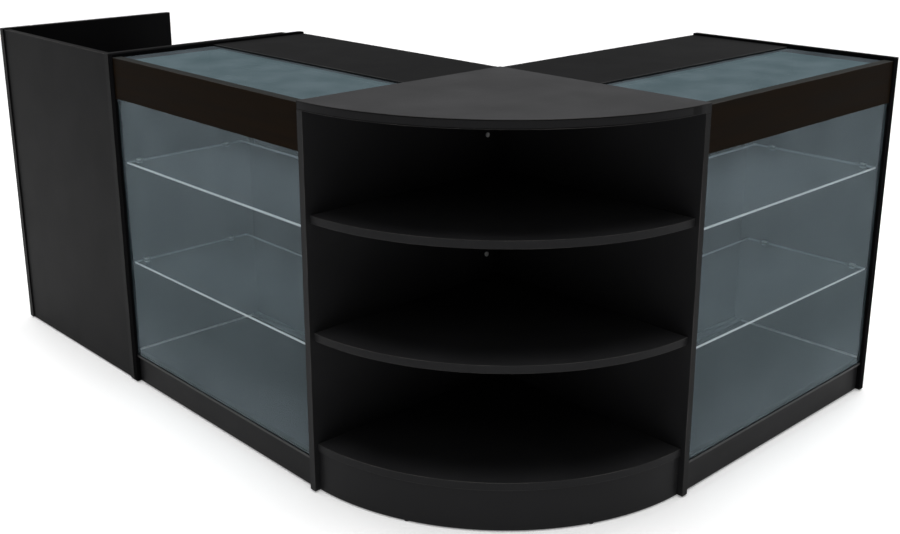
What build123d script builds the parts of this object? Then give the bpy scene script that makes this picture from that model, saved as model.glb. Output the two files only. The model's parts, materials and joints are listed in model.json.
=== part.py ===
from build123d import *
import math
import os

# An L-shaped checkout counter: a till block and a glass showcase in one wing, a second glass
# showcase in the other, and an open quarter-round shelf unit that joins them at the corner.
# All sizes are in millimetres.
#
# The layout frame has its origin on the floor at the corner unit's apex. The left wing runs
# along +Y with its front facing -X, and the right wing runs along +X with its front facing -Y.
# Every finished piece is then moved so that the origin is below the centre of the counter.

# ---- Driving dimensions ----
HEIGHT = 900.0              # floor to the top of every outer end panel
DEPTH = 600.0               # front to back of a showcase
CASE_LENGTH = 800.0         # along the wing
TILL_LENGTH = 650.0
TILL_DEPTH = 550.0
BOARD = 18.0                # melamine-faced board
GLASS = 6.0
GLIDE_HEIGHT = 3.0          # every upright board stands this far off the floor
EASE = 0.6                  # small chamfer along board and glass edges

# ---- Showcase heights ----
PLINTH_TOP = 75.0
DECK_TOP = PLINTH_TOP + BOARD
LOWER_SHELF_TOP = 347.0
UPPER_SHELF_TOP = 620.0
FASCIA_BOTTOM = 787.0
FASCIA_TOP = 892.0
TOP_GLASS_TOP = 890.0
TOP_GLASS_BOTTOM = TOP_GLASS_TOP - GLASS
WORKTOP_TOP = 895.0
WORKTOP_BOTTOM = WORKTOP_TOP - BOARD

# ---- Showcase depths, measured back from the end panels' front edges ----
FASCIA_SETBACK = 4.0
FASCIA_THICKNESS = 25.0
FASCIA_LEDGE = 12.0         # the step behind the fascia that carries the top glass
GLASS_SETBACK = 8.0
PLINTH_SETBACK = 12.0
REAR_PLINTH_INSET = 40.0    # from the rear face to the rear plinth
DISPLAY_DEPTH = 376.0       # from the front to the door tracks, with an open bay behind them
WORKTOP_FRONT = 300.0
RAIL_HEIGHT = 60.0

# ---- Front glass channel ----
CHANNEL_WALL = 2.0
CHANNEL_HEIGHT = 6.0
CHANNEL_PLAY = 0.5          # between the glass and each wall of the channel or groove
GROOVE_DEPTH = 10.0
GROOVE_HEADROOM = 2.0       # from the front glass's top edge to the groove's end
GLASS_SIDE_GAP = 1.0        # from each end of a pane or shelf to the board beside it

# ---- Sliding doors behind the display ----
TRACK_WIDTH = 40.0
TRACK_WALL = 1.5
TRACK_WEB = 2.0             # the floor of a track, and the rib between its two lanes
LOWER_TRACK_HEIGHT = 8.0
UPPER_TRACK_HEIGHT = 16.0
DOOR_THICKNESS = 16.0
DOOR_WIDTH = 400.0          # two doors overlap a little at the middle of the case
DOOR_SIDE_GAP = 1.0
DOOR_FLOOR_GAP = 1.0
DOOR_HEAD_GAP = 6.0         # room to lift a door out of the lower track
PULL_WIDTH = 30.0
PULL_HEIGHT = 90.0
PULL_DEPTH = 9.0
PULL_WALL = 1.5
PULL_INSET = 70.0           # from a door's outer edge to the centre of its pull
PULL_CENTRE_Z = 480.0

# ---- Cam lock in each outer door ----
LOCK_INSET = 24.0           # from the door's outer edge to the lock's axis
LOCK_Z = 640.0
LOCK_BODY_RADIUS = 9.0
LOCK_FLANGE_RADIUS = 12.0
LOCK_FLANGE_THICKNESS = 1.5
LOCK_PLUG_RADIUS = 7.0
LOCK_RUNNING_GAP = 0.05
CAM_LENGTH = 32.0           # from the lock's axis to the cam's tip
CAM_WIDTH = 10.0
CAM_THICKNESS = 2.0
CAM_DOOR_GAP = 0.75
STRIKE_DEPTH = 10.0
STRIKE_BELOW = 23.0         # how far the strike slot reaches below and above the lock's axis
STRIKE_ABOVE = 8.0
KEYWAY = (1.6, 6.0, 3.0)    # width, height and depth of the key slot

# ---- Glass shelves and their clips ----
CLIP_WIDTH = 14.0
CLIP_REACH = 11.0           # from the end panel over and under the shelf
CLIP_WALL = 2.5
CLIP_CORNER = 4.0           # rounds the clip's two corners over the shelf
CLIP_FRONT = 40.0           # from the front glass to the centre of the first clip
CLIP_REAR = 58.0            # from the centre of the second clip to the door tracks
PIN_RADIUS = 2.5
PIN_EMBED = 8.0
SHELF_FRONT_GAP = 5.0
SHELF_REAR_GAP = 4.0

# ---- Corner unit ----
CORNER_RADIUS = 600.0       # apex to the edge of its top and to the fronts of its side panels
CORNER_SHELF_RADIUS = 589.0
CORNER_PLINTH_RADIUS = 585.0
CORNER_PLINTH_THICKNESS = 12.0
CORNER_TOP_SURFACE = 897.0
CORNER_TOP_THICKNESS = 20.0
CORNER_PLINTH_TOP = 100.0
CORNER_PITCH = 267.0        # from one shelf's underside to the next

# ---- Till block ----
TILL_PANEL_SETBACK = 4.0
TILL_PANEL_TOP = 897.0
TILL_SURFACE_TOP = 740.0
TILL_SHELF_TOP = 398.0
TILL_SHELF_SETBACK = 60.0    # from the open rear to the storage shelf's edge
TILL_RAIL_HEIGHT = 60.0

# ---- Fasteners and feet ----
GLIDE_RADIUS = 8.0
GLIDE_INSET = 40.0
BOLT_RADIUS = 3.0
BOLT_HOLE_RADIUS = 3.5
BOLT_HEAD_RADIUS = 4.5
BOLT_HEAD_HEIGHT = 2.5
CAP_RADIUS = 5.5
CAP_HEIGHT = 3.5
CAP_WALL = 1.0

# ---- Derived sizes ----
INNER_SPAN = (BOARD, CASE_LENGTH - BOARD)   # between a showcase's two end panels
INNER_PANEL_FRONT = PLINTH_SETBACK + BOARD  # the inner end panel stands behind the front plinth
CORNER_TOP_BOTTOM = CORNER_TOP_SURFACE - CORNER_TOP_THICKNESS
FASCIA_BACK = FASCIA_SETBACK + FASCIA_THICKNESS
GLASS_BACK = GLASS_SETBACK + GLASS
CHANNEL_FRONT = GLASS_SETBACK - CHANNEL_PLAY - CHANNEL_WALL
CHANNEL_BACK = GLASS_BACK + CHANNEL_PLAY + CHANNEL_WALL
LANE_WIDTH = (TRACK_WIDTH - 2 * TRACK_WALL - TRACK_WEB) / 2
LANE_PLAY = (LANE_WIDTH - DOOR_THICKNESS) / 2
TRACK_FRONT = DISPLAY_DEPTH
TRACK_BACK = TRACK_FRONT + TRACK_WIDTH
OUTER_DOOR_BACK = TRACK_BACK - TRACK_WALL - LANE_PLAY
OUTER_DOOR_FRONT = OUTER_DOOR_BACK - DOOR_THICKNESS
INNER_DOOR_FRONT = TRACK_FRONT + TRACK_WALL + LANE_PLAY
INNER_DOOR_BACK = INNER_DOOR_FRONT + DOOR_THICKNESS
DOOR_BOTTOM = DECK_TOP + TRACK_WEB + DOOR_FLOOR_GAP
DOOR_TOP = WORKTOP_BOTTOM - TRACK_WEB - DOOR_HEAD_GAP
TILL_START = CASE_LENGTH
TILL_END = CASE_LENGTH + TILL_LENGTH
TILL_FRONT = -DEPTH
TILL_BACK = -DEPTH + TILL_DEPTH

# Bolts that hold neighbouring units together: distance along the shared face and height.
LEFT_CORNER_BOLTS = [(-60.0, 742.0), (-60.0, 443.0), (-520.0, 50.0)]
RIGHT_CORNER_BOLTS = [(-60.0, 850.0), (-60.0, 610.0), (-520.0, 50.0)]
TILL_BOLTS = [(-120.0, 850.0), (-120.0, 50.0), (-520.0, 50.0)]

# The counter's box on the floor, whose centre becomes the origin.
CENTRE_X = (CASE_LENGTH - CORNER_RADIUS) / 2
CENTRE_Y = (TILL_END - CORNER_RADIUS) / 2
TO_FRAME = Pos(-CENTRE_X, -CENTRE_Y, 0)

# A showcase is drawn with u (X) along its length, v (Y) from front to back, and Z up.
RIGHT_CASE = Pos(0, -DEPTH, 0)
LEFT_CASE = Pos(-DEPTH, CASE_LENGTH, 0) * Rot(0, 0, -90)


# ---- Shared helpers ----

def block(x_span, y_span, z_span, ease=0.0):
    """A box between three pairs of limits, with its edges eased if asked."""
    size = [high - low for low, high in (x_span, y_span, z_span)]
    box = Box(*size, align=(Align.MIN, Align.MIN, Align.MIN))
    box = Pos(x_span[0], y_span[0], z_span[0]) * box
    return chamfer(box.edges(), ease) if ease else box


def board(x_span, y_span, z_span):
    """A melamine board with eased edges."""
    return block(x_span, y_span, z_span, EASE)


def rod(start, direction, radius, length):
    """A cylinder from a point, along a direction."""
    return Plane(origin=start, z_dir=direction) * Cylinder(
        radius, length, align=(Align.CENTER, Align.CENTER, Align.MIN))


def quarter_disc(radius, z_span, inset=BOARD):
    """A quarter-round board that fits between the corner unit's side panels, or with no inset
    reaches over them."""
    bottom, top = z_span
    disc = Pos(0, 0, bottom) * Cylinder(
        radius, top - bottom, align=(Align.CENTER, Align.CENTER, Align.MIN))
    return disc & block((-radius - 1, -inset), (-radius - 1, -inset), z_span)


def export(name, shape):
    """Write one node in the counter's own frame."""
    export_step(TO_FRAME * shape, os.path.join("parts", name + ".step"))


# ---- Showcase carcass, in showcase coordinates ----

def strike_slot(at_start):
    """The slot in an end panel's inner face that the lock's cam turns into."""
    cam_back = OUTER_DOOR_FRONT - CAM_DOOR_GAP
    v_span = (cam_back - CAM_THICKNESS - 1, cam_back + 1)
    z_span = (LOCK_Z - STRIKE_BELOW, LOCK_Z + STRIKE_ABOVE)
    if at_start:
        return block((BOARD - STRIKE_DEPTH, BOARD), v_span, z_span)
    start = CASE_LENGTH - BOARD
    return block((start, start + STRIKE_DEPTH), v_span, z_span)


def clip_places():
    """Depth and height of each clip's pin: both pins of a shelf are at its mid-thickness."""
    depths = (GLASS_BACK + CLIP_FRONT, TRACK_FRONT - CLIP_REAR)
    heights = [top - GLASS / 2 for top in (LOWER_SHELF_TOP, UPPER_SHELF_TOP)]
    return [(v, z) for v in depths for z in heights]


def panel_span(at_start):
    """Where an end panel stands along the case."""
    return (0.0, BOARD) if at_start else (CASE_LENGTH - BOARD, CASE_LENGTH)


def front_span(outer_at_start):
    """From the outer end panel to the corner unit: the front and top pieces hide the inner panel."""
    return (BOARD, CASE_LENGTH) if outer_at_start else (0.0, CASE_LENGTH - BOARD)


def outer_panel_blank(at_start):
    return board(panel_span(at_start), (0, DEPTH), (GLIDE_HEIGHT, HEIGHT))


def inner_panel_blank(at_start):
    """A lower panel: the top glass lies on its front part and the worktop on its back part."""
    u_span = panel_span(at_start)
    blank = block(u_span, (INNER_PANEL_FRONT, DEPTH), (GLIDE_HEIGHT, TOP_GLASS_BOTTOM))
    return blank - block(u_span, (WORKTOP_FRONT, DEPTH), (WORKTOP_BOTTOM, TOP_GLASS_BOTTOM))


def case_end_panel(at_start, bolts, is_outer):
    """An end panel with its pin and bolt holes. The outer one has the lock's strike slot."""
    u, far_u = panel_span(at_start)
    inward = 1 if at_start else -1
    inner_face = far_u if at_start else u
    panel = outer_panel_blank(at_start) if is_outer else inner_panel_blank(at_start)
    for v, z in clip_places():
        panel -= rod((inner_face, v, z), (-inward, 0, 0), PIN_RADIUS, PIN_EMBED)
    for along, z in bolts:
        panel -= rod((u, DEPTH + along, z), (1, 0, 0), BOLT_HOLE_RADIUS, BOARD)
    if is_outer:
        panel -= strike_slot(at_start)
    return panel


def case_deck(outer_at_start):
    """The floor of the case, with a tongue that reaches past the inner end panel's front edge."""
    z_span = (PLINTH_TOP, DECK_TOP)
    tongue = block(front_span(outer_at_start), (CHANNEL_BACK, INNER_PANEL_FRONT), z_span)
    return block(INNER_SPAN, (CHANNEL_BACK, DEPTH - 1), z_span) + tongue


def case_front_plinth(outer_at_start):
    v_span = (PLINTH_SETBACK, PLINTH_SETBACK + BOARD)
    return board(front_span(outer_at_start), v_span, (GLIDE_HEIGHT, PLINTH_TOP))


def case_rear_plinth():
    back = DEPTH - REAR_PLINTH_INSET
    return board(INNER_SPAN, (back - BOARD, back), (GLIDE_HEIGHT, PLINTH_TOP))


def case_fascia(outer_at_start):
    """The deep top rail: a ledge behind it carries the top glass, a groove holds the front one."""
    groove = (GLASS_SETBACK - CHANNEL_PLAY, GLASS_BACK + CHANNEL_PLAY)
    outline = [
        (FASCIA_SETBACK, FASCIA_BOTTOM + EASE),
        (FASCIA_SETBACK + EASE, FASCIA_BOTTOM),
        (groove[0], FASCIA_BOTTOM),
        (groove[0], FASCIA_BOTTOM + GROOVE_DEPTH),
        (groove[1], FASCIA_BOTTOM + GROOVE_DEPTH),
        (groove[1], FASCIA_BOTTOM),
        (FASCIA_BACK, FASCIA_BOTTOM),
        (FASCIA_BACK, FASCIA_TOP),
        (FASCIA_SETBACK + EASE, FASCIA_TOP),
        (FASCIA_SETBACK, FASCIA_TOP - EASE),
    ]
    start, end = front_span(outer_at_start)
    section = make_face(Polyline([(start, v, z) for v, z in outline], close=True))
    rail = extrude(section, amount=end - start, dir=(1, 0, 0))
    ledge = block(INNER_SPAN, (FASCIA_BACK, FASCIA_BACK + FASCIA_LEDGE),
                  (TOP_GLASS_BOTTOM - BOARD, TOP_GLASS_BOTTOM))
    return rail + ledge


def case_worktop(outer_at_start):
    u_span = front_span(outer_at_start)
    return board(u_span, (WORKTOP_FRONT, DEPTH), (WORKTOP_BOTTOM, WORKTOP_TOP))


def case_worktop_rail():
    """The rail along the worktop's front edge that carries the back of the top glass."""
    z_span = (TOP_GLASS_BOTTOM - RAIL_HEIGHT, TOP_GLASS_BOTTOM)
    return board(INNER_SPAN, (WORKTOP_FRONT - BOARD, WORKTOP_FRONT), z_span)


# ---- Showcase glass ----

def glass_span(boards):
    """The length of a pane that fits with a little play between two boards."""
    low, high = boards
    return (low + GLASS_SIDE_GAP, high - GLASS_SIDE_GAP)


def case_top_glass(outer_at_start):
    u_span = glass_span(front_span(outer_at_start))
    v_span = (FASCIA_BACK + CHANNEL_PLAY, WORKTOP_FRONT - CHANNEL_PLAY)
    return block(u_span, v_span, (TOP_GLASS_BOTTOM, TOP_GLASS_TOP), EASE)


def case_front_glass(outer_at_start):
    u_span = glass_span(front_span(outer_at_start))
    z_span = (PLINTH_TOP + CHANNEL_WALL, FASCIA_BOTTOM + GROOVE_DEPTH - GROOVE_HEADROOM)
    return block(u_span, (GLASS_SETBACK, GLASS_BACK), z_span, EASE)


def case_glass_channel(outer_at_start):
    """The U-shaped channel on the plinth that holds the front glass."""
    u_span = front_span(outer_at_start)
    channel = block(u_span, (CHANNEL_FRONT, CHANNEL_BACK), (PLINTH_TOP, PLINTH_TOP + CHANNEL_HEIGHT))
    slot = (CHANNEL_FRONT + CHANNEL_WALL, CHANNEL_BACK - CHANNEL_WALL)
    return channel - block(u_span, slot, (PLINTH_TOP + CHANNEL_WALL, PLINTH_TOP + CHANNEL_HEIGHT))


def case_glass_shelf(top):
    """A shelf that is short enough for a clip's back wall at each end."""
    u_span = (BOARD + CLIP_WALL, CASE_LENGTH - BOARD - CLIP_WALL)
    v_span = (GLASS_BACK + SHELF_FRONT_GAP, TRACK_FRONT - SHELF_REAR_GAP)
    return block(u_span, v_span, (top - GLASS, top), EASE)


def shelf_clip(face, inward, v, z):
    """A clip on an end panel: a jaw above and a jaw below the shelf, and a pin into the panel."""
    u_span = sorted((face, face + inward * CLIP_REACH))
    mouth = sorted((face + inward * CLIP_WALL, face + inward * CLIP_REACH))
    v_span = (v - CLIP_WIDTH / 2, v + CLIP_WIDTH / 2)
    half = GLASS / 2
    body = block(u_span, v_span, (z - half - CLIP_WALL, z + half + CLIP_WALL))
    by_reach = body.edges().filter_by(Axis.Z).sort_by(Axis((face, 0, 0), (inward, 0, 0)))
    body = fillet(by_reach[-2:], CLIP_CORNER) - block(mouth, v_span, (z - half, z + half))
    return body + rod((face, v, z), (-inward, 0, 0), PIN_RADIUS, PIN_EMBED)


def case_shelf_clips():
    """Four clips in each end panel, two for each end of each glass shelf."""
    clips = []
    for v, z in clip_places():
        clips.append(shelf_clip(BOARD, 1, v, z))
        clips.append(shelf_clip(CASE_LENGTH - BOARD, -1, v, z))
    return Compound(children=clips)


# ---- Showcase doors ----

def door_track(base_z, height, opens_up):
    """A two-lane track, opening up from the deck or down from the worktop."""
    top_z = base_z + height
    lanes = (base_z + TRACK_WEB, top_z) if opens_up else (base_z, top_z - TRACK_WEB)
    track = block(INNER_SPAN, (TRACK_FRONT, TRACK_BACK), (base_z, top_z))
    for lane_front in (TRACK_FRONT + TRACK_WALL, TRACK_BACK - TRACK_WALL - LANE_WIDTH):
        track -= block(INNER_SPAN, (lane_front, lane_front + LANE_WIDTH), lanes)
    return track


def case_door_tracks():
    lower = door_track(DECK_TOP, LOWER_TRACK_HEIGHT, opens_up=True)
    upper = door_track(WORKTOP_BOTTOM - UPPER_TRACK_HEIGHT, UPPER_TRACK_HEIGHT, opens_up=False)
    return Compound(children=[lower, upper])


def door_span(at_start):
    """Where a closed door lies along the case: against the start panel or the end one."""
    if at_start:
        low = BOARD + DOOR_SIDE_GAP
        return (low, low + DOOR_WIDTH)
    high = CASE_LENGTH - BOARD - DOOR_SIDE_GAP
    return (high - DOOR_WIDTH, high)


def from_outer_edge(at_start, inset):
    """A place along the case, measured in from a door's outer edge."""
    low, high = door_span(at_start)
    return low + inset if at_start else high - inset


def pull_box(at_start, back, shrink=0.0):
    """The pocket of a finger pull, open at the door's rear face."""
    u = from_outer_edge(at_start, PULL_INSET)
    half_width = PULL_WIDTH / 2 - shrink
    half_height = PULL_HEIGHT / 2 - shrink
    return block(
        (u - half_width, u + half_width),
        (back - PULL_DEPTH + shrink, back),
        (PULL_CENTRE_Z - half_height, PULL_CENTRE_Z + half_height))


def case_door(at_start, back, has_lock):
    door = board(door_span(at_start), (back - DOOR_THICKNESS, back), (DOOR_BOTTOM, DOOR_TOP))
    door -= pull_box(at_start, back)
    if has_lock:
        u = from_outer_edge(at_start, LOCK_INSET)
        door -= rod((u, back, LOCK_Z), (0, -1, 0), LOCK_BODY_RADIUS, DOOR_THICKNESS)
    return door


def case_door_pull(at_start, back):
    """A rectangular cup let into the door for the fingers."""
    return pull_box(at_start, back) - pull_box(at_start, back, PULL_WALL)


def case_lock_housing(at_start):
    """The fixed sleeve of the cam lock, with its flange on the door's rear face."""
    u = from_outer_edge(at_start, LOCK_INSET)
    face = (u, OUTER_DOOR_BACK + LOCK_FLANGE_THICKNESS, LOCK_Z)
    sleeve_length = DOOR_THICKNESS + LOCK_FLANGE_THICKNESS
    housing = rod(face, (0, -1, 0), LOCK_BODY_RADIUS, sleeve_length)
    housing += rod(face, (0, -1, 0), LOCK_FLANGE_RADIUS, LOCK_FLANGE_THICKNESS)
    return housing - rod(face, (0, -1, 0), LOCK_PLUG_RADIUS + LOCK_RUNNING_GAP, sleeve_length)


def case_lock_barrel(at_start):
    """The turning plug with its key slot, and the cam on its inner end, hanging down."""
    u = from_outer_edge(at_start, LOCK_INSET)
    face_v = OUTER_DOOR_BACK + LOCK_FLANGE_THICKNESS
    cam_back = OUTER_DOOR_FRONT - CAM_DOOR_GAP
    cam_span = (cam_back - CAM_THICKNESS, cam_back)
    plug = rod((u, face_v, LOCK_Z), (0, -1, 0), LOCK_PLUG_RADIUS, face_v - cam_span[0])
    half = CAM_WIDTH / 2
    cam = block((u - half, u + half), cam_span, (LOCK_Z - CAM_LENGTH, LOCK_Z))
    width, height, depth = KEYWAY
    keyway = block(
        (u - width / 2, u + width / 2),
        (face_v - depth, face_v),
        (LOCK_Z - height / 2, LOCK_Z + height / 2))
    return plug + cam - keyway


def export_case(name, place, start_bolts, far_bolts, outer_at_start):
    """Write every piece of one showcase. Its outer end is the one away from the corner unit."""
    start, far = ("outer", "inner") if outer_at_start else ("inner", "outer")
    pieces = {
        start + "_end_panel": case_end_panel(True, start_bolts, outer_at_start),
        far + "_end_panel": case_end_panel(False, far_bolts, not outer_at_start),
        "deck": case_deck(outer_at_start),
        "front_plinth": case_front_plinth(outer_at_start),
        "rear_plinth": case_rear_plinth(),
        "fascia_rail": case_fascia(outer_at_start),
        "worktop": case_worktop(outer_at_start),
        "worktop_rail": case_worktop_rail(),
        "top_glass": case_top_glass(outer_at_start),
        "front_glass": case_front_glass(outer_at_start),
        "front_glass_channel": case_glass_channel(outer_at_start),
        "lower_glass_shelf": case_glass_shelf(LOWER_SHELF_TOP),
        "upper_glass_shelf": case_glass_shelf(UPPER_SHELF_TOP),
        "shelf_clips": case_shelf_clips(),
        "door_tracks": case_door_tracks(),
        "outer_door": case_door(outer_at_start, OUTER_DOOR_BACK, has_lock=True),
        "outer_door_pull": case_door_pull(outer_at_start, OUTER_DOOR_BACK),
        "inner_door": case_door(not outer_at_start, INNER_DOOR_BACK, has_lock=False),
        "inner_door_pull": case_door_pull(not outer_at_start, INNER_DOOR_BACK),
        "lock_housing": case_lock_housing(outer_at_start),
        "lock_barrel": case_lock_barrel(outer_at_start),
    }
    for piece, shape in pieces.items():
        export(name + "_" + piece, place * shape)


# ---- Corner unit, in layout coordinates ----

def corner_left_panel():
    panel = board((-CORNER_RADIUS, 0), (-BOARD, 0), (GLIDE_HEIGHT, CORNER_TOP_BOTTOM))
    for x, z in LEFT_CORNER_BOLTS:
        panel -= rod((x, -BOARD, z), (0, 1, 0), BOLT_HOLE_RADIUS, BOARD)
    return panel


def corner_right_panel():
    panel = board((-BOARD, 0), (-CORNER_RADIUS, -BOARD), (GLIDE_HEIGHT, CORNER_TOP_BOTTOM))
    for y, z in RIGHT_CORNER_BOLTS:
        panel -= rod((-BOARD, y, z), (1, 0, 0), BOLT_HOLE_RADIUS, BOARD)
    return panel


def corner_shelf(level):
    """A quarter-round shelf: level 0 stands on the plinth, and the others follow at one pitch."""
    bottom = CORNER_PLINTH_TOP + level * CORNER_PITCH
    shelf = quarter_disc(CORNER_SHELF_RADIUS, (bottom, bottom + BOARD))
    return chamfer(shelf.edges(), EASE)


def corner_top():
    """A quarter-round top that lies on both side panels, flush with their front edges."""
    z_span = (CORNER_TOP_BOTTOM, CORNER_TOP_SURFACE)
    return chamfer(quarter_disc(CORNER_RADIUS, z_span, inset=0).edges(), EASE)


def corner_plinth():
    """A bent board under the bottom shelf, set back a little from its edge."""
    z_span = (GLIDE_HEIGHT, CORNER_PLINTH_TOP)
    inner_radius = CORNER_PLINTH_RADIUS - CORNER_PLINTH_THICKNESS
    return quarter_disc(CORNER_PLINTH_RADIUS, z_span) - quarter_disc(inner_radius, z_span, 0)


# ---- Till block, in layout coordinates ----

def till_span():
    return (TILL_START + BOARD, TILL_END - BOARD)


def till_end_panel(y_start, bolts):
    y_span = (y_start, y_start + BOARD)
    panel = board((TILL_FRONT, TILL_BACK), y_span, (GLIDE_HEIGHT, HEIGHT))
    for x, z in bolts:
        panel -= rod((x, y_start, z), (0, 1, 0), BOLT_HOLE_RADIUS, BOARD)
    return panel


def till_front_panel():
    front = TILL_FRONT + TILL_PANEL_SETBACK
    return board((front, front + BOARD), till_span(), (GLIDE_HEIGHT, TILL_PANEL_TOP))


def till_shelf(top, rear_setback=0.0):
    """A board between the end panels, from the front panel to the open rear."""
    front = TILL_FRONT + TILL_PANEL_SETBACK + BOARD
    return board((front, TILL_BACK - rear_setback), till_span(), (top - BOARD, top))


def till_rear_board(z_span):
    """An upright board between the end panels, a little inside the open rear."""
    back = TILL_BACK - BOARD
    return board((back - BOARD, back), till_span(), z_span)


# ---- Feet and fasteners, in layout coordinates ----

def board_glide_places():
    """Two glides under every upright panel that stands on the floor."""
    half = BOARD / 2
    front, back = -DEPTH + GLIDE_INSET, -GLIDE_INSET
    corner_front = GLIDE_INSET - CORNER_RADIUS
    till_x = (TILL_FRONT + GLIDE_INSET, TILL_BACK - GLIDE_INSET)
    places = [(x, y) for y in (half, CASE_LENGTH - half) for x in (front, back)]
    places += [(x, y) for x in (half, CASE_LENGTH - half) for y in (front, back)]
    places += [(x, -half) for x in (corner_front, back)]
    places += [(-half, y) for y in (corner_front, back)]
    places += [(x, y) for y in (TILL_START + half, TILL_END - half) for x in till_x]
    return places


def plinth_glide_places():
    """Two glides under the corner unit's bent plinth."""
    middle = CORNER_PLINTH_RADIUS - CORNER_PLINTH_THICKNESS / 2
    angles = [math.radians(degrees) for degrees in (205, 245)]
    return [(middle * math.cos(angle), middle * math.sin(angle)) for angle in angles]


def glide(place, radius):
    x, y = place
    disc = rod((x, y, 0), (0, 0, 1), radius, GLIDE_HEIGHT)
    return chamfer(disc.edges().sort_by(Axis.Z)[0], EASE)


def floor_glides():
    glides = [glide(place, GLIDE_RADIUS) for place in board_glide_places()]
    glides += [glide(place, CORNER_PLINTH_THICKNESS / 2) for place in plinth_glide_places()]
    return Compound(children=glides)


def unit_bolt(centre, direction):
    """A sleeve bolt through two boards: its shank, and a flat head against each outer face."""
    middle = Vector(*centre)
    along = Vector(*direction)
    bolt = rod(middle - along * BOARD, direction, BOLT_RADIUS, 2 * BOARD)
    for side in (-1, 1):
        bolt += rod(middle + along * side * BOARD, along * side, BOLT_HEAD_RADIUS, BOLT_HEAD_HEIGHT)
    return bolt


def unit_bolts():
    bolts = [unit_bolt((x, 0, z), (0, 1, 0)) for x, z in LEFT_CORNER_BOLTS]
    bolts += [unit_bolt((0, y, z), (1, 0, 0)) for y, z in RIGHT_CORNER_BOLTS]
    bolts += [unit_bolt((x, TILL_START, z), (0, 1, 0)) for x, z in TILL_BOLTS]
    return Compound(children=bolts)


def bolt_cap(centre, direction):
    """A grey cover cap that snaps over a bolt's head."""
    cap = rod(centre, direction, CAP_RADIUS, CAP_HEIGHT)
    rim = cap.faces().sort_by(Axis(centre, direction))[-1].edges()
    cap = chamfer(rim, CAP_WALL / 2)
    return cap - rod(centre, direction, BOLT_HEAD_RADIUS, BOLT_HEAD_HEIGHT)


def bolt_caps():
    """Caps over the heads that can be seen inside the corner unit."""
    caps = [bolt_cap((x, -BOARD, z), (0, -1, 0)) for x, z in LEFT_CORNER_BOLTS[:2]]
    caps += [bolt_cap((-BOARD, y, z), (-1, 0, 0)) for y, z in RIGHT_CORNER_BOLTS[:2]]
    return Compound(children=caps)


# ---- Assembly ----

os.makedirs("parts", exist_ok=True)

export_case("left_case", LEFT_CASE, TILL_BOLTS, LEFT_CORNER_BOLTS, outer_at_start=True)
export_case("right_case", RIGHT_CASE, RIGHT_CORNER_BOLTS, [], outer_at_start=False)

export("corner_left_panel", corner_left_panel())
export("corner_right_panel", corner_right_panel())
export("corner_top", corner_top())
export("corner_bottom_shelf", corner_shelf(0))
export("corner_lower_shelf", corner_shelf(1))
export("corner_upper_shelf", corner_shelf(2))
export("corner_plinth", corner_plinth())

export("till_front_panel", till_front_panel())
export("till_inner_end_panel", till_end_panel(TILL_START, TILL_BOLTS))
export("till_outer_end_panel", till_end_panel(TILL_END - BOARD, []))
export("till_work_surface", till_shelf(TILL_SURFACE_TOP))
export("till_storage_shelf", till_shelf(TILL_SHELF_TOP, TILL_SHELF_SETBACK))
export("till_base_shelf", till_shelf(DECK_TOP))
export("till_rear_plinth", till_rear_board((GLIDE_HEIGHT, PLINTH_TOP)))
export("till_surface_rail", till_rear_board(
    (TILL_SURFACE_TOP - BOARD - TILL_RAIL_HEIGHT, TILL_SURFACE_TOP - BOARD)))

export("floor_glides", floor_glides())
export("unit_bolts", unit_bolts())
export("bolt_caps", bolt_caps())
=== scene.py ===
"""Looks for the L-shaped checkout counter: materials, small fittings, floor, light and camera.

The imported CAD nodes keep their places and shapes. Every board gets a material worked out from
its own box, so that its faces, its edge bands and its worn corners differ.
"""

import json
import math
import random

import bmesh
import bpy
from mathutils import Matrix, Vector


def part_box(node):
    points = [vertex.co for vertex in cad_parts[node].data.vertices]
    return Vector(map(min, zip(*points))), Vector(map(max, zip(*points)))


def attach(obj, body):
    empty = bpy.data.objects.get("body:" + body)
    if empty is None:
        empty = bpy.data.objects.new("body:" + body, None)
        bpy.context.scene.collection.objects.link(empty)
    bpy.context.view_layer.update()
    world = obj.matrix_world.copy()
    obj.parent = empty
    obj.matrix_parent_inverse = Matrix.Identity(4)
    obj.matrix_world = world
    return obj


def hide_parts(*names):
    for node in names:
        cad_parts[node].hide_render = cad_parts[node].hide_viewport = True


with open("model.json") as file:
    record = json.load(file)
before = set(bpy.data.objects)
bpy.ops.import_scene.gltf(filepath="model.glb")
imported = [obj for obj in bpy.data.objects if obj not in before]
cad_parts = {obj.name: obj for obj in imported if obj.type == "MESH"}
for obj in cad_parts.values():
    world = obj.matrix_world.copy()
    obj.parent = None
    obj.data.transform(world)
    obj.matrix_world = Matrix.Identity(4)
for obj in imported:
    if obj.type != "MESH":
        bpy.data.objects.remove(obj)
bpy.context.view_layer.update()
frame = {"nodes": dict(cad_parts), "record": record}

NODES = frame["nodes"]
CASES = ("left_case", "right_case")


# ---- Camera, fitted to the photograph ----

CAMERA_PLACE = (-2.0873, -2.3506, 1.3673)
CAMERA_HEADING = math.radians(46.582)     # from +X towards +Y
CAMERA_PITCH = math.radians(-16.437)
CAMERA_LENS = 46.65                       # mm
CAMERA_SENSOR = 36                        # mm wide
CAMERA_SHIFT_Y = -0.069


def add_camera():
    """The photograph's viewpoint, with everything in focus."""
    data = bpy.data.cameras.new("camera")
    data.sensor_width = CAMERA_SENSOR
    data.lens = CAMERA_LENS
    data.shift_y = CAMERA_SHIFT_Y
    camera = bpy.data.objects.new("camera", data)
    level = math.cos(CAMERA_PITCH)
    forward = Vector((
        math.cos(CAMERA_HEADING) * level,
        math.sin(CAMERA_HEADING) * level,
        math.sin(CAMERA_PITCH)))
    camera.location = CAMERA_PLACE
    camera.rotation_euler = forward.to_track_quat("-Z", "Y").to_euler()
    bpy.context.scene.collection.objects.link(camera)
    bpy.context.scene.camera = camera


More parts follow.
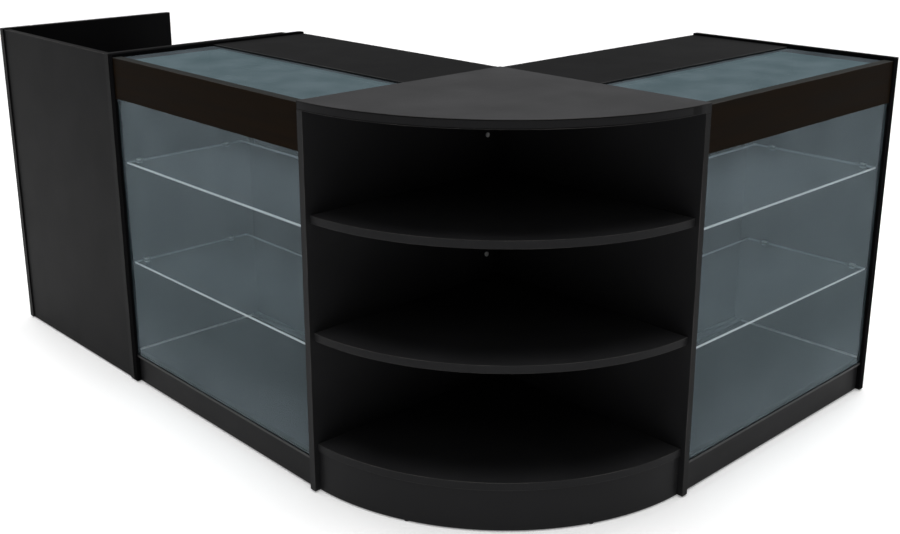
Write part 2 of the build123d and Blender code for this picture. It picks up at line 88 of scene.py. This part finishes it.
# ---- Node-tree helpers ----

def srgb(red, green, blue):
    """A linear colour from screen values between 0 and 255."""
    channels = [value / 255 for value in (red, green, blue)]
    linear = [c / 12.92 if c <= 0.04045 else ((c + 0.055) / 1.055) ** 2.4 for c in channels]
    return (*linear, 1.0)


class Graph:
    """One material's node tree, built a node at a time."""

    def __init__(self, name):
        self.material = bpy.data.materials.new(name)
        self.material.use_nodes = True
        self.tree = self.material.node_tree
        self.tree.nodes.clear()
        self.coordinates = self.node("TexCoord")
        self.place = self.coordinates.outputs["Object"]
        self.normal = self.coordinates.outputs["Normal"]

    def put(self, socket, value):
        """Set a socket, or link it if the value is another node's output."""
        if isinstance(value, bpy.types.NodeSocket):
            self.tree.links.new(value, socket)
        else:
            socket.default_value = value

    def node(self, kind, inputs=None, **settings):
        node = self.tree.nodes.new("ShaderNode" + kind)
        for key, value in settings.items():
            setattr(node, key, value)
        for socket, value in (inputs or {}).items():
            self.put(node.inputs[socket], value)
        return node

    def math(self, operation, *values):
        inputs = dict(enumerate(values))
        return self.node("Math", inputs, operation=operation).outputs[0]

    def vector(self, operation, *values):
        inputs = dict(enumerate(values))
        return self.node("VectorMath", inputs, operation=operation).outputs["Vector"]

    def axes(self, vector):
        """A vector's three parts."""
        return self.node("SeparateXYZ", {0: vector}).outputs[:]

    def noise(self, scale, detail=2.0, stretch=(1, 1, 1)):
        """Noise between 0 and 1, whose features are about 1 / scale metres."""
        place = self.vector("MULTIPLY", self.place, stretch)
        inputs = {"Vector": place, "Scale": scale, "Detail": detail}
        return self.node("TexNoise", inputs).outputs["Fac"]

    def fade(self, value, start, end, low=0.0, high=1.0):
        """Low where the value is at start, high where it is at end, and smooth between."""
        inputs = {"Value": value, "From Min": start, "From Max": end, "To Min": low, "To Max": high}
        node = self.node("MapRange", inputs, interpolation_type="SMOOTHSTEP")
        return node.outputs["Result"]

    def mix(self, share, first, second):
        """A blend of two colours."""
        node = self.node("Mix", data_type="RGBA")
        self.put(node.inputs[0], share)
        self.put(node.inputs[6], first)
        self.put(node.inputs[7], second)
        return node.outputs[2]

    def bump(self, height, distance, normal=None):
        inputs = {"Height": height, "Distance": distance, "Strength": 1.0}
        if normal is not None:
            inputs["Normal"] = normal
        return self.node("Bump", inputs).outputs["Normal"]

    def principled(self, inputs):
        return self.node("BsdfPrincipled", inputs).outputs[0]

    def blend(self, share, first, second):
        """A blend of two shaders."""
        return self.node("MixShader", {0: share, 1: first, 2: second}).outputs[0]

    def finish(self, shader):
        output = self.node("OutputMaterial")
        self.put(output.inputs["Surface"], shader)
        return self.material


def thin_axis(size):
    """Which of a board's three sides is its thickness."""
    return min(range(3), key=lambda axis: size[axis])


def flatness(graph, axis):
    """1 on a board's two faces, 0 on its edge bands and in between on its eased corners."""
    return graph.math("ABSOLUTE", graph.axes(graph.normal)[axis])


def edge_distance(graph, low, high, arc=None):
    """How far a point on a board's surface is from the nearest corner line, in metres."""
    from_low = graph.vector("SUBTRACT", graph.place, tuple(low))
    from_high = graph.vector("SUBTRACT", tuple(high), graph.place)
    x, y, z = graph.axes(graph.vector("MINIMUM", from_low, from_high))
    if arc:
        x = graph.math("MINIMUM", x, arc_distance(graph, *arc))
    smaller = graph.math("MINIMUM", x, y)
    larger = graph.math("MAXIMUM", x, y)
    return graph.math("MAXIMUM", smaller, graph.math("MINIMUM", larger, z))


def arc_distance(graph, apex, radius):
    """How far a point is inside a vertical cylinder about the apex."""
    offset = graph.vector("SUBTRACT", graph.place, tuple(apex))
    level = graph.vector("MULTIPLY", offset, (1, 1, 0))
    length = graph.node("VectorMath", {0: level}, operation="LENGTH").outputs["Value"]
    return graph.math("SUBTRACT", radius, length)


# ---- Board materials ----

FACE_BLACK = srgb(12, 12, 13)
DEEP_BLACK = srgb(2, 2, 3)
BAND_BLACK = srgb(33, 33, 34)
PLINTH_GREY = srgb(26, 26, 27)            # also the corner unit's side panels and its top's band
SHELF_GREY = srgb(32, 32, 33)             # the corner unit's shelves and its plinth
TOP_SHEEN_GREY = srgb(55, 55, 56)               # the corner unit's top, the palest board; its paleness is painted sheen, standing in for the softbox light it mirrors
SEAM_GREY = srgb(40, 40, 40)
WORN_GREY = srgb(84, 82, 80)
CLOUD = 1.3                               # how much paler a face is in its cloudy patches
PEARL = 2.2                               # and in the specks of its pearl grain
FASCIA_BROWN = srgb(26, 18, 10)
FASCIA_GRAIN = srgb(19, 13, 7)
# painted sheen: the colour of the fascia's top edge, paler where it catches light at a grazing
# angle
FASCIA_TOP_SHEEN = srgb(46, 47, 46)

SATIN = 0.06                # specular level of most boards
TILL_SATIN = 0.041          # of the till block's
MATT = 0.003                # of the showcases' outer ends, which look flat black
FASCIA_SATIN = 0.01
FACE_ROUGHNESS = (0.45, 0.48)
BAND_SMOOTHNESS = 0.85      # a band's roughness as a share of a face's
WORN_ROUGHNESS = 0.2        # added where a corner is worn

# Features per metre
CLOUD_SCALE = 5
SMEAR_SCALE = 11
PATCH_SCALE = 14
WAVE_SCALE = 70
SCRATCH_SCALE = 260
PEARL_SCALE = 900
STREAK_SCALE = 120
PORE_SCALE = 800
GRAIN_STRETCH = 0.04        # features along the fascia, as a share of those across it

# Heights of relief, in metres
WAVE_HEIGHT = 0.00008
PEARL_HEIGHT = 0.00002
STREAK_HEIGHT = 0.00008
PORE_HEIGHT = 0.00003

EASED_CORNER = (0.3, 0.5, 0.85, 0.96)     # flatness where a corner fades in and out again
FACE_FLATNESS = (0.9, 0.97)               # flatness where a face fades in
SCUFF_REACH = 0.004
SCUFF_STRENGTH = 0.35
BAND_THICKNESS = 0.001      # an edge band's own thickness shows as a fine seam on the faces
SEAM_FADE = (0.0001, 0.0002)              # off a seam's middle, where it is full and where it ends
GROOVE_PLACE = 0.002        # the corner top's thicker band has a dark line of painted shade beside each corner, standing in for a groove's shadow
GROOVE_WIDTH = 0.0024


def worn_share(graph, flat, distance):
    """Where a board's eased corners are rubbed paler, with a few scuffs beside them."""
    start, full, fading, end = EASED_CORNER
    corner = graph.math("MULTIPLY", graph.fade(flat, start, full), graph.fade(flat, end, fading))
    patches = graph.fade(graph.noise(PATCH_SCALE, 3), 0.35, 0.7, 0.15, 0.75)
    rubbed = graph.math("MULTIPLY", corner, patches)
    near = graph.fade(distance, SCUFF_REACH, 0.0)
    scratches = graph.fade(graph.noise(SCRATCH_SCALE, 4), 0.62, 0.72)
    scuffed = graph.math("MULTIPLY", near, scratches)
    return graph.math("MAXIMUM", rubbed, graph.math("MULTIPLY", scuffed, SCUFF_STRENGTH))


def seam_share(graph, face, distance):
    """The fine glue line on a board's faces, where its edge band begins."""
    full, end = SEAM_FADE
    off_seam = graph.math("ABSOLUTE", graph.math("SUBTRACT", distance, BAND_THICKNESS))
    return graph.math("MULTIPLY", face, graph.fade(off_seam, end, full))


def painted_groove_shade(graph, distance):
    """Painted shade: dark lines along the corner top's band, standing in for the shadow in a groove
    beside each corner.
    """
    off_groove = graph.math("ABSOLUTE", graph.math("SUBTRACT", distance, GROOVE_PLACE))
    return graph.fade(off_groove, GROOVE_WIDTH / 2, GROOVE_WIDTH / 3)


def brighter(colour, factor):
    return tuple(channel * factor for channel in colour[:3]) + (1.0,)


def face_tone(graph, colour, pearl):
    """A face's colour with its cloudy patches and its pearl specks."""
    clouds = graph.fade(graph.noise(CLOUD_SCALE, 4), 0.3, 0.7)
    tone = graph.mix(clouds, colour, brighter(colour, CLOUD))
    specks = graph.fade(pearl, 0.6, 0.75, 0, 0.25)
    return graph.mix(specks, tone, brighter(colour, PEARL))


def band_tone(graph, look, distance):
    """A band's colour, with painted shade where it faces up on some boards, and dark lines of
    painted shade along the corner top's band.
    """
    # painted shade: where a board's up-facing band colour is darker, its top edges are painted dark
    upward_painted_light = graph.fade(graph.axes(graph.normal)[2], 0.6, 0.8)
    tone = graph.mix(upward_painted_light, look["band"], look["crown"])
    if look["painted_grooves"]:
        # painted shade: dark lines for the grooves' shadow on the corner top's band
        tone = graph.mix(painted_groove_shade(graph, distance), tone, DEEP_BLACK)
    return tone


def board_roughness(graph, face, worn):
    """Faces with faint smears, smoother bands and rougher worn corners."""
    smears = graph.fade(graph.noise(SMEAR_SCALE, 5), 0.3, 0.7, *FACE_ROUGHNESS)
    polished = graph.math("MULTIPLY", smears, graph.fade(face, 0, 1, BAND_SMOOTHNESS, 1.0))
    return graph.math("ADD", polished, graph.math("MULTIPLY", worn, WORN_ROUGHNESS))


def melamine(name, low, high, arc, look):
    """Melamine: a fine pearl grain on its faces, smoother bands on its narrow edges."""
    graph = Graph(name)
    flat = flatness(graph, thin_axis(high - low))
    distance = edge_distance(graph, low, high, arc)
    face = graph.fade(flat, *FACE_FLATNESS)
    worn = graph.math("MULTIPLY", worn_share(graph, flat, distance), look["wear"])
    pearl = graph.noise(PEARL_SCALE, 2)
    face_colour = face_tone(graph, look["face"], pearl)
    face_colour = graph.mix(seam_share(graph, face, distance), face_colour, SEAM_GREY)
    colour = graph.mix(face, band_tone(graph, look, distance), face_colour)
    waves = graph.bump(graph.noise(WAVE_SCALE, 1), WAVE_HEIGHT)
    shader = graph.principled({
        "Base Color": graph.mix(worn, colour, WORN_GREY),
        "Roughness": board_roughness(graph, face, worn),
        "Specular IOR Level": look["gloss"],
        "Normal": graph.bump(graph.math("MULTIPLY", pearl, face), PEARL_HEIGHT, waves)})
    return graph.finish(shader)


def fascia_laminate(name, low, high):
    """Brown-black laminate with a faint grain along its length, and a paler top edge, which is
    painted sheen for light caught at a grazing angle.
    """
    graph = Graph(name)
    size = high - low
    along = 0 if size.x > size.y else 1
    stretch = [1.0, 1.0, 1.0]
    stretch[along] = GRAIN_STRETCH
    streaks = graph.noise(STREAK_SCALE, 5, stretch)
    pores = graph.noise(PORE_SCALE, 2, stretch)
    flat = flatness(graph, 1 - along)
    upward_painted_light = graph.fade(graph.axes(graph.normal)[2], 0.8, 0.95)
    worn = worn_share(graph, flat, edge_distance(graph, low, high))
    colour = graph.mix(graph.fade(streaks, 0.3, 0.7), FASCIA_GRAIN, FASCIA_BROWN)
    # painted sheen on the fascia's up-facing top edge
    colour = graph.mix(upward_painted_light, colour, FASCIA_TOP_SHEEN)
    colour = graph.mix(worn, colour, WORN_GREY)
    grain = graph.bump(streaks, STREAK_HEIGHT)
    grain = graph.bump(pores, PORE_HEIGHT, grain)
    shader = graph.principled({
        "Base Color": colour,
        "Roughness": graph.fade(streaks, 0.2, 0.8, 0.42, 0.56),
        "Specular IOR Level": FASCIA_SATIN,
        "Normal": grain})
    return graph.finish(shader)


# ---- Glass ----

GLASS_IOR = 1.5
MIRROR_ROUGHNESS = 0.02
GLASS_CLEAR = (0.95, 0.97, 0.972, 1.0)
GLASS_DUST = (0.56, 0.66, 0.74, 1.0)
FRONT_MIRROR = (0.2, 0.26, 0.285, 1.0)    # tint of what the panes and shelves mirror
TOP_MIRROR = (0.32, 0.6, 0.66, 1.0)       # and of what the top glass mirrors
SHADED_EDGE = (0.03, 0.045, 0.05, 1.0)    # of a pane let into boards, where little light gets in
REAR_EDGE = (0.13, 0.16, 0.17, 1.0)       # of a shelf, and so are the next two
SIDE_EDGE = (0.5, 0.54, 0.56, 1.0)
POLISHED_EDGE = (0.76, 0.77, 0.79, 1.0)
EDGE_SHINE = 0.25           # share of an edge's light that is mirrored
EDGE_ROUGHNESS = 0.15
FRONT_DUST = 0.044          # share of a pane's light that its dust scatters, at its top
TOP_DUST = 0.042
SHELF_DUST = 0.029
DUST_PATCHES = (0.7, 1.3)   # times that, in the thinnest and the thickest patches
DUST_BELOW_PAINTED_SHADE = 0.32           # dust at a pane's foot, as a share of that at its top; the thinner dust low down is painted shade, for the darker reflection there
SETTLED_DUST = 1.0          # added share at its foot, from what has settled there
SETTLED_REACH = 0.2         # up from the foot, so a level pane has settled dust all over


def glass_pane(graph, low, high, mirror_colour, dust):
    """A pane's face: mirror-like, with a trace of dust that thins towards its foot as painted
    shade, standing in for the darker reflection low down.

    A pane mirrors at both faces. The outer face carries the sum of the two, and the face behind
    it only lets light through.
    """
    mirrored = graph.node("Fresnel", {"IOR": GLASS_IOR}).outputs[0]
    both = graph.math("DIVIDE", graph.math("MULTIPLY", mirrored, 2), graph.math("ADD", mirrored, 1))
    behind = graph.node("NewGeometry").outputs["Backfacing"]
    mirrored = graph.math("MULTIPLY", both, graph.math("SUBTRACT", 1, behind))
    clear = graph.node("BsdfTransparent", {"Color": GLASS_CLEAR}).outputs[0]
    mirror = graph.node("BsdfGlossy", {"Color": mirror_colour, "Roughness": MIRROR_ROUGHNESS})
    thin, thick = [share * dust for share in DUST_PATCHES]
    film = graph.fade(graph.noise(9, 5), 0.25, 0.75, thin, thick)
    height = graph.axes(graph.place)[2]
    # painted shade: the dust thins towards the foot, so a pane is darker low down; the dust itself
    # is real
    dust_thinning_painted_shade = graph.fade(height, low.z, high.z, DUST_BELOW_PAINTED_SHADE, 1.0)
    settled = graph.fade(height, low.z, low.z + SETTLED_REACH, SETTLED_DUST, 0.0)
    film = graph.math("MULTIPLY", film, graph.math("ADD", dust_thinning_painted_shade, settled))
    haze = graph.node("BsdfDiffuse", {"Color": GLASS_DUST}).outputs[0]
    return graph.blend(film, graph.blend(mirrored, clear, mirror.outputs[0]), haze)


def glass_edge(graph, colour):
    body = graph.node("BsdfDiffuse", {"Color": colour}).outputs[0]
    ripple = graph.bump(graph.noise(300, 2), 0.0002)
    inputs = {"Color": colour, "Roughness": EDGE_ROUGHNESS, "Normal": ripple}
    shine = graph.node("BsdfGlossy", inputs).outputs[0]
    return graph.blend(EDGE_SHINE, body, shine)


def finish_glass(graph, size, pane, edge):
    on_face = graph.fade(flatness(graph, thin_axis(size)), 0.5, 0.9)
    return graph.finish(graph.blend(on_face, edge, pane))


def fixed_glass(name, low, high, mirror_colour, dust):
    """A pane whose edges are hidden in the boards around it."""
    graph = Graph(name)
    pane = glass_pane(graph, low, high, mirror_colour, dust)
    return finish_glass(graph, high - low, pane, glass_edge(graph, SHADED_EDGE))


def shelf_glass(name, low, high):
    """A shelf with a bright polished front edge, duller sides and a ground rear edge."""
    graph = Graph(name)
    size = high - low
    depth_axis = 0 if size.x < size.y else 1
    middle = (low.z + high.z) / 2
    off_middle = graph.math("ABSOLUTE", graph.math("SUBTRACT", graph.axes(graph.place)[2], middle))
    lips = graph.fade(off_middle, 0.15 * size.z, 0.35 * size.z, 0.55, 1.0)
    polished = graph.mix(lips, SIDE_EDGE, POLISHED_EDGE)
    facing = graph.axes(graph.normal)[depth_axis]
    rear_or_side = graph.mix(graph.fade(facing, 0.5, 0.9), SIDE_EDGE, REAR_EDGE)
    edge = glass_edge(graph, graph.mix(graph.fade(facing, -0.5, -0.9), rear_or_side, polished))
    pane = glass_pane(graph, low, high, FRONT_MIRROR, SHELF_DUST)
    return finish_glass(graph, size, pane, edge)


# ---- Metal and plastic ----

# Two tones of each, which noise mixes
ALUMINIUM = (srgb(150, 152, 154), srgb(186, 187, 188))
CHROME = (srgb(215, 215, 217), srgb(170, 168, 165))
ZINC = (srgb(236, 238, 240), srgb(190, 192, 194))
GREY_PLASTIC = (srgb(186, 186, 188), srgb(202, 201, 200))
BLACK_PLASTIC = (srgb(20, 20, 21), srgb(34, 34, 35))
SILICONE = (srgb(206, 202, 204), srgb(176, 172, 174))

CHROME_ROUGHNESS = 0.12
ZINC_ROUGHNESS = 0.45
STAIN_ROUGHNESS = 0.15      # added where plate is stained
LINE_STRETCH = 0.01         # features along a drawn extrusion, as a share of those across it


def drawn_aluminium(name, along):
    """Anodised extrusion with fine lines along its length."""
    graph = Graph(name)
    stretch = [1.0, 1.0, 1.0]
    stretch[along] = LINE_STRETCH
    lines = graph.noise(1500, 3, stretch)
    cloud = graph.noise(12, 3)
    shader = graph.principled({
        "Base Color": graph.mix(lines, *ALUMINIUM),
        "Metallic": 1.0,
        "Roughness": graph.fade(cloud, 0.3, 0.7, 0.3, 0.42),
        "Normal": graph.bump(lines, 0.00003)})
    return graph.finish(shader)


def plated_metal(name, colours, roughness):
    """Chrome or zinc plate, with small stains and hairline scratches."""
    graph = Graph(name)
    stains = graph.noise(90, 4)
    scratches = graph.noise(2200, 2, (1, 0.15, 1))
    shader = graph.principled({
        "Base Color": graph.mix(graph.fade(stains, 0.45, 0.75), *colours),
        "Metallic": 1.0,
        "Roughness": graph.fade(stains, 0.3, 0.8, roughness, roughness + STAIN_ROUGHNESS),
        "Normal": graph.bump(scratches, 0.00001)})
    return graph.finish(shader)


def moulded_plastic(name, colours):
    """Moulded plastic with a fine spark-eroded grain."""
    graph = Graph(name)
    grain = graph.noise(1600, 2)
    cloud = graph.fade(graph.noise(40, 4), 0.35, 0.75)
    shader = graph.principled({
        "Base Color": graph.mix(cloud, *colours),
        "Roughness": graph.fade(grain, 0.2, 0.8, 0.4, 0.6),
        "Specular IOR Level": 0.35,
        "Normal": graph.bump(grain, 0.00004)})
    return graph.finish(shader)


def sealant(name):
    """Clear silicone that has gone a little milky, with small ripples from the finger."""
    graph = Graph(name)
    cloud = graph.fade(graph.noise(60, 4), 0.3, 0.7)
    ripple = graph.noise(180, 2)
    shader = graph.principled({
        "Base Color": graph.mix(cloud, *SILICONE),
        "Roughness": graph.fade(ripple, 0.3, 0.7, 0.25, 0.4),
        "Normal": graph.bump(ripple, 0.0002)})
    return graph.finish(shader)


# ---- Dressing the CAD nodes ----

def length_axis(case):
    """0 if a showcase runs along X, 1 if it runs along Y."""
    low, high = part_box(case + "_worktop")
    return 0 if high.x - low.x > high.y - low.y else 1


def dress(node, material):
    for slot in NODES[node].material_slots:
        slot.material = material


def is_corner_shelf(node):
    return "corner" in node and "shelf" in node


def board_look(node):
    """A board's colours and gloss, with its own colour for the part of its bands that faces up;
    where that is darker than the band, it is painted shade.
    """
    look = {
        "face": FACE_BLACK,
        "band": BAND_BLACK,
        "crown": BAND_BLACK,
        # painted shade: only the corner top gets the dark groove lines
        "painted_grooves": node == "corner_top",
        "wear": 1.0,
        "gloss": SATIN}
    if "case_outer_end_panel" in node:
        look.update(band=DEEP_BLACK, crown=DEEP_BLACK, wear=0.1, gloss=MATT)
    elif "till" in node:
        # painted shade: the till's up-facing band edges are painted deep black
        look.update(band=FACE_BLACK, crown=DEEP_BLACK, gloss=TILL_SATIN)
    elif node == "corner_top":
        # painted sheen: the corner top's face is painted paler than the other boards
        look.update(face=TOP_SHEEN_GREY, band=PLINTH_GREY)
    elif is_corner_shelf(node):
        look.update(face=SHELF_GREY)
    elif node == "corner_plinth":
        # painted shade: the corner plinth's top edge is painted deep black
        look.update(face=SHELF_GREY, crown=DEEP_BLACK)
    elif node == "corner_left_panel":
        look.update(face=PLINTH_GREY)
    elif node == "corner_right_panel":
        look.update(face=PLINTH_GREY, band=FACE_BLACK)
    elif "plinth" in node:
        # painted shade: the plinths' top edges are painted deep black
        look.update(face=PLINTH_GREY, crown=DEEP_BLACK)
    return look


def board_material(node, low, high, apex):
    """Every board has its own melamine, because its bands and corners lie where its box says."""
    rounded = is_corner_shelf(node) or node in ("corner_top", "corner_plinth")
    arc = (apex, apex[0] - low.x) if rounded else None
    return melamine(node, low, high, arc, board_look(node))


def glass_material(node, low, high):
    if "shelf" in node:
        return shelf_glass(node, low, high)
    if "top" in node:
        return fixed_glass(node, low, high, TOP_MIRROR, TOP_DUST)
    return fixed_glass(node, low, high, FRONT_MIRROR, FRONT_DUST)


def dress_boards_and_glass():
    """Give every board and pane its own material. The apex is the corner unit's inner corner."""
    apex = (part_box("corner_right_panel")[1].x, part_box("corner_left_panel")[1].y, 0)
    slots = {part["node"]: part["material_slot"] for part in frame["record"]["subparts"]}
    for node in NODES:
        low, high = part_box(node)
        if slots[node] == "fascia_laminate":
            dress(node, fascia_laminate(node, low, high))
        elif slots[node] == "black_melamine":
            dress(node, board_material(node, low, high, apex))
        elif slots[node] == "clear_glass":
            dress(node, glass_material(node, low, high))


def dress_fittings(black_plastic):
    chrome = plated_metal("lock_chrome", CHROME, CHROME_ROUGHNESS)
    zinc = plated_metal("zinc_steel", ZINC, ZINC_ROUGHNESS)
    dress("floor_glides", black_plastic)
    dress("bolt_caps", moulded_plastic("grey_plastic", GREY_PLASTIC))
    dress("unit_bolts", zinc)
    for case in CASES:
        dress(case + "_front_glass_channel", black_plastic)
        dress(case + "_shelf_clips", zinc)
        dress(case + "_door_tracks", drawn_aluminium(case + "_aluminium", length_axis(case)))
        dress(case + "_lock_housing", chrome)
        dress(case + "_lock_barrel", chrome)


# ---- Small pieces of their own ----

BEAD_SIZE = 0.004
BEAD_STEP = 0.006           # between one ring of a bead's points and the next
BEAD_WANDER = 0.0005        # how far a bead's size strays either way
BEAD_SEED = 7
ARC_STEPS = 6               # sides of a quarter turn
PULL_CORNER = 0.006
# A finger pull's section, from its outer bottom over its lip to its inner bottom: metres outward
# from the edge of the pocket in the door, and metres out of the door's rear face
PULL_SECTION = (
    (-0.0002, -0.0088),
    (-0.0002, 0.0),
    (0.0030, 0.0),
    (0.0030, 0.0004),
    (0.0024, 0.0008),
    (-0.0010, 0.0008),
    (-0.0018, 0.0002),
    (-0.0020, -0.0060),
    (-0.0027, -0.0075),
    (-0.0045, -0.0080),
)


def add_piece(name, rings, body, material):
    """A closed mesh through rings of points that all have the same count, capped at both ends."""
    mesh = bmesh.new()
    loops = [[mesh.verts.new(point) for point in ring] for ring in rings]
    for first, second in zip(loops, loops[1:]):
        for index in range(len(first)):
            after = (index + 1) % len(first)
            mesh.faces.new((first[index], first[after], second[after], second[index]))
    mesh.faces.new(loops[0])
    mesh.faces.new(loops[-1])
    bmesh.ops.recalc_face_normals(mesh, faces=mesh.faces)
    data = bpy.data.meshes.new(name)
    mesh.to_mesh(data)
    mesh.free()
    data.materials.append(material)
    piece = bpy.data.objects.new(name, data)
    bpy.context.scene.collection.objects.link(piece)
    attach(piece, body)
    return piece


def bead_ring(corner, along, depth, size):
    """A hollow fillet between a panel and the deck, at one depth in the case."""
    ring = [(0.0, 0.0)]
    for step in range(ARC_STEPS + 1):
        turn = math.pi / 2 * step / ARC_STEPS
        ring.append((size * (1 - math.sin(turn)), size * (1 - math.cos(turn))))
    points = []
    for across, up in ring:
        point = Vector(corner)
        point[along] -= across
        point[1 - along] = depth
        point.z += up
        points.append(point)
    return points


def add_deck_bead(case, dice):
    """A hand-run bead of sealant where the deck meets the outer end panel."""
    along = length_axis(case)
    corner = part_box(case + "_outer_end_panel")[0].copy()
    corner.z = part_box(case + "_deck")[1].z
    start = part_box(case + "_front_glass_channel")[1][1 - along]
    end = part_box(case + "_door_tracks")[0][1 - along]
    count = round((end - start) / BEAD_STEP)
    rings = []
    for index in range(count + 1):
        size = BEAD_SIZE + dice.uniform(-BEAD_WANDER, BEAD_WANDER)
        rings.append(bead_ring(corner, along, start + (end - start) * index / count, size))
    add_piece(case + "_deck_sealant", rings, "counter", sealant(case + "_sealant"))


def rounded_outline(half_width, half_height, radius):
    """Points round a rectangle with round corners."""
    points = []
    for quarter in range(4):
        centre_x = (half_width - radius) * (1 if quarter in (0, 3) else -1)
        centre_y = (half_height - radius) * (1 if quarter in (0, 1) else -1)
        for step in range(ARC_STEPS + 1):
            turn = math.pi / 2 * (quarter + step / ARC_STEPS)
            points.append((centre_x + radius * math.cos(turn), centre_y + radius * math.sin(turn)))
    return points


def add_finger_pull(case, door, black_plastic):
    """A moulded cup with a rounded lip, in place of the plain one."""
    node = f"{case}_{door}_door_pull"
    along = length_axis(case)
    low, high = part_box(node)
    middle = (low + high) / 2
    half = (high - low) / 2
    rings = []
    for outward, out in PULL_SECTION:
        outline = rounded_outline(half[along] + outward, half.z + outward, PULL_CORNER + outward)
        ring = []
        for across, up in outline:
            point = Vector((0, 0, middle.z + up))
            point[along] = middle[along] + across
            point[1 - along] = high[1 - along] + out
            ring.append(point)
        rings.append(ring)
    body = f"{case.split('_')[0]}_{door}_door"
    pull = add_piece(node + "_cup", rings, body, black_plastic)
    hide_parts(node)


def add_small_pieces(black_plastic):
    dice = random.Random(BEAD_SEED)
    for case in CASES:
        add_deck_bead(case, dice)
        for door in ("outer", "inner"):
            add_finger_pull(case, door, black_plastic)


# ---- Floor and light ----

FLOOR_SIZE = 60.0
FLOOR_DROP = 0.0002         # leaves a hair of room below the glides
FLOOR_TONES = ((0.89, 0.89, 0.89, 1.0), (0.91, 0.91, 0.91, 1.0))
FLOOR_GLOW = 0.22           # keeps the floor pale in the counter's shadow
ZENITH = 13.4               # the dome's strength overhead
HORIZON = 0.22              # and towards the walls
BACKGROUND = 0.95           # strength of what the camera sees behind the counter
DOME_START = 0.92           # the dome brightens above this height, on a unit sphere
# Each softbox's name, its place, the point it faces, its side in metres and its power in watts
SOFTBOXES = (
    ("softbox", (-1.8, -2.1, 3.6), (0, 0, 0.5), 2.5, 16),
    ("right_softbox", (3.2, -0.6, 2.6), (0.2, 0, 0.5), 1.8, 28),
    ("left_softbox", (-0.6, 3.6, 2.6), (0, 0.2, 0.5), 1.8, 28),
)


def add_floor():
    """A pale matte floor, wide enough to fill the view."""
    graph = Graph("floor")
    tone = graph.fade(graph.noise(1.5, 4), 0.3, 0.7)
    shader = graph.principled({
        "Base Color": graph.mix(tone, *FLOOR_TONES),
        "Roughness": 0.8,
        "Specular IOR Level": 0.2,
        "Emission Color": (1, 1, 1, 1),
        "Emission Strength": FLOOR_GLOW})
    bpy.ops.mesh.primitive_plane_add(size=FLOOR_SIZE, location=(0, 0, -FLOOR_DROP))
    floor = bpy.context.object
    floor.name = "floor"
    floor.data.materials.append(graph.finish(shader))


def add_sky():
    """A soft dome, bright overhead and dim towards the walls, in front of a pale background.

    Mirrored rays see an even dome, so that the glass has no glare from above.
    """
    world = bpy.data.worlds.new("studio")
    bpy.context.scene.world = world
    world.use_nodes = True
    tree = world.node_tree
    tree.nodes.clear()

    def node(kind, values=None):
        made = tree.nodes.new("ShaderNode" + kind)
        for socket, value in (values or {}).items():
            made.inputs[socket].default_value = value
        return made

    direction = node("TexCoord").outputs["Generated"]
    parts = node("SeparateXYZ")
    height = node("MapRange", {"From Min": DOME_START, "To Min": HORIZON, "To Max": ZENITH})
    height.interpolation_type = "SMOOTHSTEP"
    dome = node("Background")
    even_dome = node("Background", {"Strength": HORIZON})
    backdrop = node("Background", {"Strength": BACKGROUND})
    ray = node("LightPath")
    lit = node("MixShader")
    chosen = node("MixShader")
    output = node("OutputWorld")
    tree.links.new(direction, parts.inputs[0])
    tree.links.new(parts.outputs["Z"], height.inputs["Value"])
    tree.links.new(height.outputs["Result"], dome.inputs["Strength"])
    tree.links.new(ray.outputs["Is Glossy Ray"], lit.inputs[0])
    tree.links.new(dome.outputs[0], lit.inputs[1])
    tree.links.new(even_dome.outputs[0], lit.inputs[2])
    tree.links.new(ray.outputs["Is Camera Ray"], chosen.inputs[0])
    tree.links.new(lit.outputs[0], chosen.inputs[1])
    tree.links.new(backdrop.outputs[0], chosen.inputs[2])
    tree.links.new(chosen.outputs[0], output.inputs["Surface"])


def add_softbox(name, place, target, side, power):
    data = bpy.data.lights.new(name, "AREA")
    data.size = side
    data.energy = power
    light = bpy.data.objects.new(name, data)
    light.location = place
    light.rotation_euler = (Vector(target) - Vector(place)).to_track_quat("-Z", "Y").to_euler()
    bpy.context.scene.collection.objects.link(light)


def build_scene():
    bpy.context.scene.view_settings.view_transform = "Standard"
    add_camera()
    black_plastic = moulded_plastic("black_plastic", BLACK_PLASTIC)
    dress_boards_and_glass()
    dress_fittings(black_plastic)
    add_small_pieces(black_plastic)
    add_floor()
    add_sky()
    for softbox in SOFTBOXES:
        add_softbox(*softbox)


build_scene()
